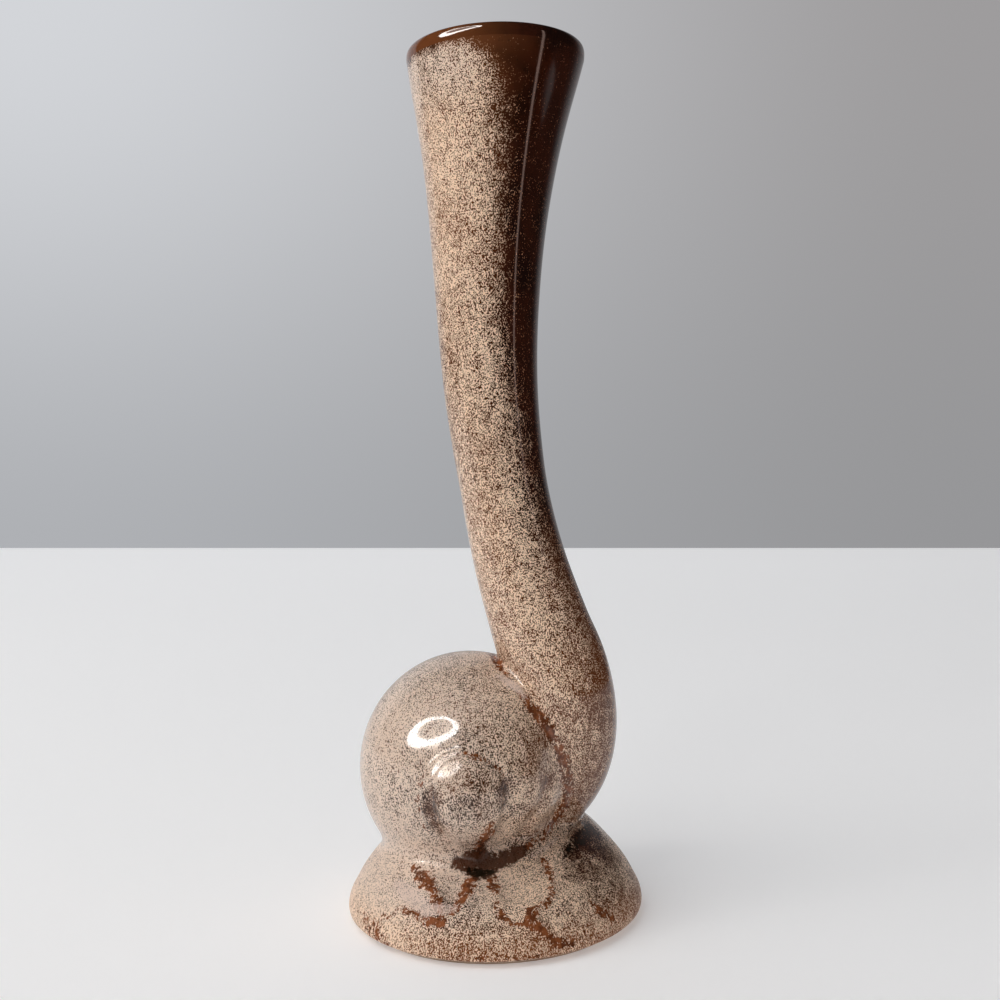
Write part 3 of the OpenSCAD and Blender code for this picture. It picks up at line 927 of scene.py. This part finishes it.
def glazed_piece(name, number, slot):
    """One piece of the glazed body, with its wall."""
    part = bmesh.new()
    part.from_mesh(whole)
    part.faces.ensure_lookup_table()
    others = [part.faces[i] for i in np.flatnonzero(label != number)]
    source = part.verts.layers.int.new("source")
    for v in part.verts:
        v[source] = v.index
    bmesh.ops.delete(part, geom=others, context="FACES")
    thin = placed(name + "_thin", mesh_of(part, name))
    wall = thin.modifiers.new("wall", "SOLIDIFY")
    wall.thickness = 1
    wall.offset = -1
    solid = bpy.data.meshes.new_from_object(thin.evaluated_get(bpy.context.evaluated_depsgraph_get()))
    bpy.data.objects.remove(thin)
    at = numbers(solid.attributes["source"].data, "value", 1, int)
    outer = np.arange(len(at)) < len(at) // 2
    solid.vertices.foreach_set("co", (np.where(outer[:, None], skin[at], inner[at]) * MM).ravel())
    for paint, values in paints.items():
        layer = solid.attributes.new(paint, "FLOAT", "POINT")
        inside = BARE_COVER if paint == "cover" else values[at]
        layer.data.foreach_set("value", np.where(outer, values[at], inside))
    solid.attributes.remove(solid.attributes["source"])
    solid.polygons.foreach_set("use_smooth", np.ones(len(solid.polygons), bool))
    solid.normals_split_custom_set_from_vertices(np.where(outer[:, None], outward[at], -inward[at]))
    piece = placed("glazed_" + name, solid)
    piece.data.materials.append(glazes[slot])
    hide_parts(name)
    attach(piece, "root")


def tone(red, green, blue):
    """A colour from its red, green and blue out of 255."""
    def linear(c):
        c /= 255
        return c / 12.92 if c <= 0.04045 else ((c + 0.055) / 1.055) ** 2.4
    return (linear(red), linear(green), linear(blue), 1)


def node(tree, kind, sockets=None, **settings):
    """A shader node, with its sockets set or linked."""
    made = tree.nodes.new(kind)
    for key, value in settings.items():
        setattr(made, key, value)
    for key, value in (sockets or {}).items():
        if isinstance(value, bpy.types.NodeSocket):
            tree.links.new(value, made.inputs[key])
        else:
            made.inputs[key].default_value = value
    return made


def mixed(tree, share, first, second):
    """The first colour at share 0, the second at 1."""
    return node(tree, "ShaderNodeMix", {0: share, 6: first, 7: second}, data_type="RGBA").outputs[2]


def sums(tree, kind, a, b, c=None):
    """One step of arithmetic on two or three values."""
    sockets = {0: a, 1: b}
    if c is not None:
        sockets[2] = c
    return node(tree, "ShaderNodeMath", sockets, operation=kind).outputs[0]


def stepped(tree, value, low, high):
    """From 0 at low to 1 at high, softly at both ends."""
    sockets = {"Value": value, "From Min": low, "From Max": high}
    return node(tree, "ShaderNodeMapRange", sockets, interpolation_type="SMOOTHSTEP").outputs[0]


def ranged(tree, value, low, high):
    """From low to high as the value goes from 0 to 1."""
    return node(tree, "ShaderNodeMapRange", {"Value": value, "To Min": low, "To Max": high}).outputs[0]


def new_material(name):
    """A material with no nodes yet, and its tree."""
    material = bpy.data.materials.new(name)
    material.use_nodes = True
    material.node_tree.nodes.clear()
    return material, material.node_tree


def shown(tree, shader):
    """Makes a shader the surface of its material."""
    node(tree, "ShaderNodeOutputMaterial", {"Surface": shader.outputs[0]})


BARE_GLAZE = tone(54, 23, 12)
BARE_DEEP = tone(30, 12, 7)
AMBER_GLAZE = tone(144, 84, 46)
SPRAY_THIN = tone(162, 114, 84)
SPRAY_WARM = tone(252, 221, 193)
SPRAY_COOL = tone(236, 212, 193)
SPECK = tone(60, 38, 26)
SPECK_BROWN = tone(100, 60, 36)
RUST_GLAZE = tone(142, 82, 49)
RUST_DARK = tone(96, 52, 29)
POOL_GLAZE = tone(76, 40, 20)
# The darkest glaze, which is also the painted shade beside the last turn
DEEP_AND_SHADE_TONE = tone(30, 24, 14)
# Pale glaze, which is also the painted highlights
PALE_AND_HIGHLIGHT_TONE = tone(234, 210, 198)
# The noises in the glaze, each with its pitch: the spray's grain, torn edges, blotches and a slow drift
GRAIN = 5100
TEAR = 1300
BLOTCH = 700
DRIFT = 130
GRAIN_TALL = 0.7
NOISE_DETAIL = 3
TEAR_DETAIL = 2
NOISE_ROUGH = 0.6
# How far a noise goes into a paint, and the levels between which one tone gives way to the next
BARE_STEP = (0.35, 0.65)
SPECK_STEP = (0.42, 0.6)
TEAR_IN_RUST = 2.6
RUST_FROM = (0, 0.3)
RUST_SHARE = 0.88
RUST_TONE_STEP = (0.38, 0.58)
RUST_STEP = (0.2, 0.5)
RUST_BARE_STEP = (0.25, 1.0)
RUST_COVER = -0.8
DRIFT_IN_COVER = 0.35
BLOTCH_IN_COVER = 0.8
GRAIN_LEVEL = 0.7
GRAIN_PER_COVER = -0.4
GRAIN_STEP = (-0.035, 0.035)
THIN_STEP = (-0.1, 0.66)
GRAIN_IN_PALE = 1.1
PALE_STEP = (0.3, 0.85)
PALE_SHARE = 0.6
TEAR_IN_POOL = 2.0
GRAIN_IN_POOL = 0.9
POOL_STEP = (0.4, 0.62)
POOL_RUST_STEP = (0.48, 0.64)
POOL_RUST = 0.6
POOL_SHARE = 0.95
DEEP_STEP = (0.4, 0.7)
# The glaze's gloss and its faint unevenness
GLOSS = 0.07
MATT = 0.32
SHINE = 0.5
DULL = 0.04
GLAZE_IOR = 1.5
SPRAY_HEIGHT = 0.3
DRIFT_HEIGHT = 0.5
GLAZE_BUMP = 0.08
BUMP_HEIGHT = 0.0001


def glaze(name, sprayed=True):
    """Dark glaze, and over it the pale spray with its specks, runs and pools, with painted highlights, shade
    and reflection.
    """
    material, tree = new_material(name)
    place = node(tree, "ShaderNodeTexCoord").outputs["Object"]
    drawn = node(tree, "ShaderNodeMapping", {"Vector": place, "Scale": (1, 1, GRAIN_TALL)}).outputs[0]

    def noise(scale, detail=NOISE_DETAIL):
        sockets = {"Vector": drawn, "Scale": scale, "Detail": detail, "Roughness": NOISE_ROUGH}
        return node(tree, "ShaderNodeTexNoise", sockets).outputs[0]

    def paint(layer):
        return node(tree, "ShaderNodeAttribute", attribute_name=layer).outputs["Fac"]

    def about(value, by):
        return sums(tree, "MULTIPLY", sums(tree, "SUBTRACT", value, 0.5), by)

    drift = noise(DRIFT)
    bare = mixed(tree, stepped(tree, drift, *BARE_STEP), BARE_GLAZE, BARE_DEEP)
    colour = mixed(tree, paint("amber"), bare, AMBER_GLAZE)
    height = drift
    if sprayed:
        grain, tears, blotch = noise(GRAIN, 0), noise(TEAR, TEAR_DETAIL), noise(BLOTCH)
        rust_paint, cool_and_reflection = paint("rust"), paint("cool_and_reflection")
        speck_tone = mixed(tree, stepped(tree, drift, *SPECK_STEP), SPECK, SPECK_BROWN)
        gap_tone = mixed(tree, cool_and_reflection, colour, speck_tone)
        # The red-brown, with torn edges, shows in the gaps and thins the spray
        tear = sums(tree, "MULTIPLY", about(tears, TEAR_IN_RUST), stepped(tree, rust_paint, *RUST_FROM))
        rust = sums(tree, "MULTIPLY_ADD", rust_paint, RUST_SHARE, tear)
        rust_tone = mixed(tree, stepped(tree, blotch, *RUST_TONE_STEP), RUST_GLAZE, RUST_DARK)
        gap_tone = mixed(tree, stepped(tree, rust, *RUST_STEP), gap_tone, rust_tone)
        # The spray covers where the grain is above a level that its thickness sets
        uneven = sums(tree, "ADD", about(drift, DRIFT_IN_COVER), about(blotch, BLOTCH_IN_COVER))
        cover = sums(tree, "ADD", uneven, paint("cover"))
        cover = sums(tree, "MULTIPLY_ADD", stepped(tree, rust, *RUST_BARE_STEP), RUST_COVER, cover)
        level = sums(tree, "MULTIPLY_ADD", cover, GRAIN_PER_COVER, GRAIN_LEVEL)
        spray_mask = stepped(tree, sums(tree, "SUBTRACT", grain, level), *GRAIN_STEP)
        spray_tone = mixed(tree, cool_and_reflection, SPRAY_WARM, SPRAY_COOL)
        spray_tone = mixed(tree, stepped(tree, cover, *THIN_STEP), SPRAY_THIN, spray_tone)
        colour = mixed(tree, spray_mask, gap_tone, spray_tone)
        # Pale places and painted highlights, the dark pool, and its darkest places and painted shade, over
        # all that
        pale_and_highlight_mask = stepped(tree, sums(tree, "ADD", about(grain, GRAIN_IN_PALE), paint("pale")), *PALE_STEP)
        colour = mixed(tree, sums(tree, "MULTIPLY", pale_and_highlight_mask, PALE_SHARE), colour, PALE_AND_HIGHLIGHT_TONE)
        torn = sums(tree, "ADD", about(tears, TEAR_IN_POOL), about(grain, GRAIN_IN_POOL))
        pool_mask = stepped(tree, sums(tree, "ADD", torn, paint("pool")), *POOL_STEP)
        rusty = sums(tree, "MULTIPLY", stepped(tree, blotch, *POOL_RUST_STEP), POOL_RUST)
        pool_tone = mixed(tree, rusty, POOL_GLAZE, RUST_DARK)
        colour = mixed(tree, sums(tree, "MULTIPLY", pool_mask, POOL_SHARE), colour, pool_tone)
        deep_and_shade_mask = stepped(tree, sums(tree, "ADD", torn, paint("deep")), *DEEP_STEP)
        colour = mixed(tree, deep_and_shade_mask, colour, DEEP_AND_SHADE_TONE)
        drift_height = sums(tree, "MULTIPLY", drift, DRIFT_HEIGHT)
        height = sums(tree, "MULTIPLY_ADD", spray_mask, SPRAY_HEIGHT, drift_height)
    bump = {"Strength": GLAZE_BUMP, "Distance": BUMP_HEIGHT, "Height": height}
    uneven_skin = node(tree, "ShaderNodeBump", bump).outputs[0]
    sockets = {"Base Color": colour, "Roughness": GLOSS, "IOR": GLAZE_IOR, "Normal": uneven_skin}
    shader = node(tree, "ShaderNodeBsdfPrincipled", sockets)
    if sprayed:
        tree.links.new(ranged(tree, paint("matt"), GLOSS, MATT), shader.inputs["Roughness"])
        tree.links.new(ranged(tree, paint("dull"), SHINE, DULL), shader.inputs["Specular IOR Level"])
    shown(tree, shader)
    return material


CLAY_PALE = tone(196, 178, 158)
CLAY_STAINED = tone(176, 148, 122)
CLAY_GRIT = tone(150, 118, 92)
GRIT = {"Scale": 900, "Detail": 4, "Roughness": 0.65}
STAIN = {"Scale": 90, "Detail": 3}
STAIN_STEP = (0.35, 0.65)
GRIT_STEP = (0.6, 0.72)
CLAY_BUMP = 0.4
CLAY_ROUGH = 0.85


def clay(name):
    """Bare fired clay, faintly stained, with a fine grit."""
    material, tree = new_material(name)
    place = node(tree, "ShaderNodeTexCoord").outputs["Object"]
    grit = node(tree, "ShaderNodeTexNoise", {"Vector": place, **GRIT}).outputs[0]
    stain = node(tree, "ShaderNodeTexNoise", {"Vector": place, **STAIN}).outputs[0]
    colour = mixed(tree, stepped(tree, stain, *STAIN_STEP), CLAY_PALE, CLAY_STAINED)
    colour = mixed(tree, stepped(tree, grit, *GRIT_STEP), colour, CLAY_GRIT)
    bump = {"Strength": CLAY_BUMP, "Distance": BUMP_HEIGHT, "Height": grit}
    uneven_skin = node(tree, "ShaderNodeBump", bump).outputs[0]
    sockets = {"Base Color": colour, "Roughness": CLAY_ROUGH, "Normal": uneven_skin}
    shader = node(tree, "ShaderNodeBsdfPrincipled", sockets)
    shown(tree, shader)
    return material


glazes = {
    "speckled_glaze": glaze("speckled_glaze"),
    "rust_glaze": glaze("rust_glaze"),
    "dark_glaze": glaze("dark_glaze", sprayed=False),
}
bare_clay = clay("bare_clay")

for name, number in (
    ("shell", SHELL), ("tip", TIP), ("last_turn", LAST_TURN), ("foot", FOOT), ("neck", NECK),
    ("seam_bead", SEAM_BEAD),
):
    glazed_piece(name, number, "rust_glaze" if number == SEAM_BEAD else "speckled_glaze")

# The lip, spun about the mouth's axis: it carries on the neck's flare, rounds over and goes down inside
LIP_STEPS = 12
LIP_SIDES = 160
LIP_FULL = 1.35
LIP_SIDE = 2.2
LIP_CREASE = math.radians(50)
LIP_AMBER = 0.5
LIP_AMBER_FACING = (0, 0.95)
FLARE_STEP = 0.02
rim, under_rim = neck_at(np.array([1.0, 1 - FLARE_STEP]))[:, 3]
flare = (rim - under_rim) / (FLARE_STEP * (neck_top - root_z))
outer_foot = Vector((rim_r, 0, -lip_rise))
inner_foot = Vector((rim_r - NECK_WALL, 0, -lip_rise))
crown = Vector((lip_mid_r, 0, LIP_D / 2))
side_pull = Vector((flare, 0, 1)) * LIP_SIDE
crown_pull = Vector((LIP_FULL, 0, 0))
outer_curve = (outer_foot, outer_foot + side_pull, crown + crown_pull, crown)
inner_curve = (crown, crown - crown_pull, inner_foot + side_pull / 2, inner_foot)
outer_side = geometry.interpolate_bezier(*outer_curve, LIP_STEPS)
inner_side = geometry.interpolate_bezier(*inner_curve, LIP_STEPS)
lip = bmesh.new()
roll = [lip.verts.new(spot) for spot in outer_side + inner_side[1:]]
outline = [lip.edges.new((a, b)) for a, b in zip(roll, roll[1:] + roll[:1])]
lip_round = {"axis": (0, 0, 1), "angle": 2 * math.pi, "steps": LIP_SIDES, "use_merge": True}
bmesh.ops.spin(lip, geom=roll + outline, cent=(0, 0, 0), **lip_round)
bmesh.ops.remove_doubles(lip, verts=lip.verts[:], dist=WELD)
bmesh.ops.recalc_face_normals(lip, faces=lip.faces[:])
for face in lip.faces:
    face.smooth = True
for edge in lip.edges:
    edge.smooth = edge.calc_face_angle(0) < LIP_CREASE
lip_turn = Matrix.Rotation(-rise_turn, 4, "Y") @ Matrix.Rotation(tip_turn, 4, "X")
lip_place = Matrix.Translation(Vector(mouth_mid + lip_rise * lip_axis)) @ lip_turn
bmesh.ops.transform(lip, matrix=Matrix.Scale(MM, 4) @ lip_place, verts=lip.verts[:])
lip_mesh = mesh_of(lip, "glazed_lip")
lip_facing = numbers(lip_mesh.vertices, "co", 3) @ SPRAY_WAY / (MM * lip_mid_r)
lip_amber = lip_mesh.attributes.new("amber", "FLOAT", "POINT")
lip_amber.data.foreach_set("value", LIP_AMBER * eased(*LIP_AMBER_FACING, lip_facing))
lip_piece = placed("glazed_lip", lip_mesh)
lip_piece.data.materials.append(glazes["dark_glaze"])
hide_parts("lip")
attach(lip_piece, "root")

for name in ("floor_slab", "foot_ring"):
    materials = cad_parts[name].data.materials
    materials.clear()
    materials.append(bare_clay)


# The table and the wall behind it: a corner and two sides of each in mm, and where their tones change in m
TABLE = ((-3000, -1500, 0), (6000, 0, 0), (0, 2700, 0))
CLOTH_WHITE = tone(232, 232, 233)
CLOTH_ROUGH = 0.9
CLOTH_DEEP = (-0.1, 1.2)
CLOTH_GLOW_NEAR = 0.32
CLOTH_GLOW_FAR = 0.48
CLOTH_FRONT = (-0.12, -0.45)
BACK_WALL = ((-3500, 1900, -900), (7000, 0, 0), (0, 0, 3500))
# The wall's tones are painted light and shade: lighter above and to the left, darker low and far out on the
# right
WALL_ACROSS = (-0.9, 0.9)
WALL_UP = (-0.1, 0.95)
WALL_ASIDE = (0.95, 3.0)
WALL_ASIDE_GLOW = 0.12
WALL_LOW = (tone(174, 176, 180), tone(150, 150, 152))
WALL_HIGH = (tone(211, 213, 217), tone(158, 156, 157))
BLACK = (0, 0, 0, 1)


def place_in(tree):
    """Where a point of an object lies: across, deep and up, in metres."""
    place = node(tree, "ShaderNodeTexCoord").outputs["Object"]
    return node(tree, "ShaderNodeSeparateXYZ", {0: place}).outputs


def lit(tree, colour, rough, glow):
    """A plain surface that also glows a little in its own colour."""
    sockets = {"Base Color": colour, "Roughness": rough, "Emission Color": colour, "Emission Strength": glow}
    return node(tree, "ShaderNodeBsdfPrincipled", sockets)


def wall_painted_light():
    """A pale grey wall that glows with painted light and shade: a little lighter above and to the left,
    fading far out on the right.
    """
    material, tree = new_material("wall_painted_light")
    place = place_in(tree)
    across = stepped(tree, place[0], *WALL_ACROSS)
    up = stepped(tree, place[2], *WALL_UP)
    grey = mixed(tree, up, mixed(tree, across, *WALL_LOW), mixed(tree, across, *WALL_HIGH))
    aside = ranged(tree, stepped(tree, place[0], *WALL_ASIDE), 1, WALL_ASIDE_GLOW)
    shown(tree, node(tree, "ShaderNodeEmission", {0: grey, 1: aside}))
    return material


def cloth_white():
    """The white table, which keeps its brightness towards the back."""
    material, tree = new_material("cloth_white")
    place = place_in(tree)
    glow = ranged(tree, stepped(tree, place[1], *CLOTH_DEEP), CLOTH_GLOW_NEAR, CLOTH_GLOW_FAR)
    shader = lit(tree, CLOTH_WHITE, CLOTH_ROUGH, glow)
    # In front of the vase the gloss shows no table
    front = stepped(tree, place[1], *CLOTH_FRONT)
    hidden = sums(tree, "MULTIPLY", front, node(tree, "ShaderNodeLightPath").outputs["Is Glossy Ray"])
    dark = node(tree, "ShaderNodeEmission", {0: BLACK}).outputs[0]
    shown(tree, node(tree, "ShaderNodeMixShader", {0: hidden, 1: shader.outputs[0], 2: dark}))
    return material


def sheet(name, corner, side, rise, material):
    """A flat sheet, from one corner along two sides."""
    corner, side, rise = Vector(corner), Vector(side), Vector(rise)
    bm = bmesh.new()
    spots = (corner, corner + side, corner + side + rise, corner + rise)
    bm.faces.new([bm.verts.new(spot * MM) for spot in spots])
    bmesh.ops.recalc_face_normals(bm, faces=bm.faces[:])
    made = placed(name, mesh_of(bm, name))
    made.data.materials.append(material)
    return made


sheet("table", *TABLE, cloth_white())
sheet("wall", *BACK_WALL, wall_painted_light())

# The lamp, a bright ring round a dimmer middle, as far from the vase as LAMP_FAR says
LAMP_WAY = Vector((-0.63, -0.543, 0.557)).normalized()
LAMP_FAR = 1100.0
LAMP_WIDE = 1060.0
LAMP_TALL = 540.0
LAMP_ROLL = math.radians(32)
LAMP_BRIGHT = 5.6
LAMP_DIM = 1.0
LAMP_BRIGHT_IN_GLOSS = 4.6
LAMP_DIM_IN_GLOSS = 2.2
LAMP_TONE = (1, 0.975, 0.94, 1)
LAMP_SIDES = 64
LAMP_BAND = 0.17
LAMP_ASIDE = Vector((0.06, 0.05, 0))
LAMP_AIM = Vector((0, 0, 50))


def lamp_glow(name, level, in_gloss):
    """A lamp's light, which the gloss shows some times brighter."""
    material, tree = new_material(name)
    gloss = node(tree, "ShaderNodeLightPath").outputs["Is Glossy Ray"]
    strength = ranged(tree, gloss, level, level * in_gloss)
    shown(tree, node(tree, "ShaderNodeEmission", {0: LAMP_TONE, 1: strength}))
    return material


def lamp_ring():
    """The lamp's flat oval: the band is inset, and its middle moved aside, so it is wider at one end."""
    bm = bmesh.new()
    edge = bmesh.ops.create_circle(bm, cap_ends=True, segments=LAMP_SIDES, radius=0.5)["verts"]
    middle = edge[0].link_faces[0]
    inset = {"thickness": LAMP_BAND, "use_boundary": True, "use_even_offset": True}
    band = set(bmesh.ops.inset_region(bm, faces=[middle], **inset)["faces"])
    bmesh.ops.translate(bm, vec=LAMP_ASIDE, verts=middle.verts[:])
    across = Vector((0, 0, 1)).cross(LAMP_WAY).normalized()
    up = LAMP_WAY.cross(across)
    turn = Matrix((across, up, LAMP_WAY)).transposed().to_4x4() @ Matrix.Rotation(LAMP_ROLL, 4, "Z")
    size = Matrix.Diagonal((LAMP_WIDE, LAMP_TALL, 1, 1))
    place = Matrix.Translation(LAMP_AIM + LAMP_WAY * LAMP_FAR) @ turn @ size
    bmesh.ops.transform(bm, matrix=Matrix.Scale(MM, 4) @ place, verts=bm.verts[:])
    for face in bm.faces:
        face.material_index = 0 if face in band else 1
    made = placed("lamp_ring", mesh_of(bm, "lamp_ring"))
    made.data.materials.append(lamp_glow("lamp_bright", LAMP_BRIGHT, LAMP_BRIGHT_IN_GLOSS))
    made.data.materials.append(lamp_glow("lamp_dim", LAMP_DIM, LAMP_DIM_IN_GLOSS))
    made.visible_camera = False


lamp_ring()

# The lit edge of a window on the right, which the neck's gloss shows as a thin line
WINDOW = ((536, -268, 40), (-18, -34, 0), (0, 0, 380))
WINDOW_TONE = (1, 0.7, 0.6, 1)
WINDOW_GLOW = 1.7
window_glow, window_tree = new_material("window_glow")
shown(window_tree, lit(window_tree, WINDOW_TONE, 1, WINDOW_GLOW))
window = sheet("window_edge", *WINDOW, window_glow)
window.visible_camera = False

# A soft light from the left and above, which the gloss doesn't show
FILL_SIDE = 1.6
FILL_POWER = 10.5
FILL_AT = (-0.75, -0.45, 1.4)
fill = placed("soft_fill", bpy.data.lights.new("soft_fill", "AREA"))
fill.data.shape = "RECTANGLE"
fill.data.size, fill.data.size_y = FILL_SIDE, FILL_SIDE
fill.data.energy = FILL_POWER
fill.location = FILL_AT
fill.rotation_euler = (-fill.location.to_3d()).to_track_quat("-Z", "Y").to_euler()
fill.visible_glossy = False

# The room: soft light on all sides, which the gloss shows only dimly
ROOM = 0.17
ROOM_IN_GLOSS = 0.02
ROOM_TONE = (0.95, 0.97, 1, 1)
world = bpy.data.worlds.new("room")
world.use_nodes = True
tree = world.node_tree
gloss = node(tree, "ShaderNodeLightPath").outputs["Is Glossy Ray"]
tree.nodes["Background"].inputs[0].default_value = ROOM_TONE
tree.links.new(ranged(tree, gloss, ROOM, ROOM_IN_GLOSS), tree.nodes["Background"].inputs[1])
bpy.context.scene.world = world

# The camera looks level, and a shift brings the horizon to its place
camera = placed("camera", bpy.data.cameras.new("camera"))
camera.data.sensor_width = SENSOR
camera.data.lens = SENSOR * FOCUS / PICTURE
camera.data.shift_y = (HORIZON - MIDDLE) / PICTURE
camera.location = Vector(EYE) * MM
camera.rotation_euler = (math.pi / 2, 0, 0)
bpy.context.scene.camera = camera
bpy.context.scene.view_settings.view_transform = "Standard"
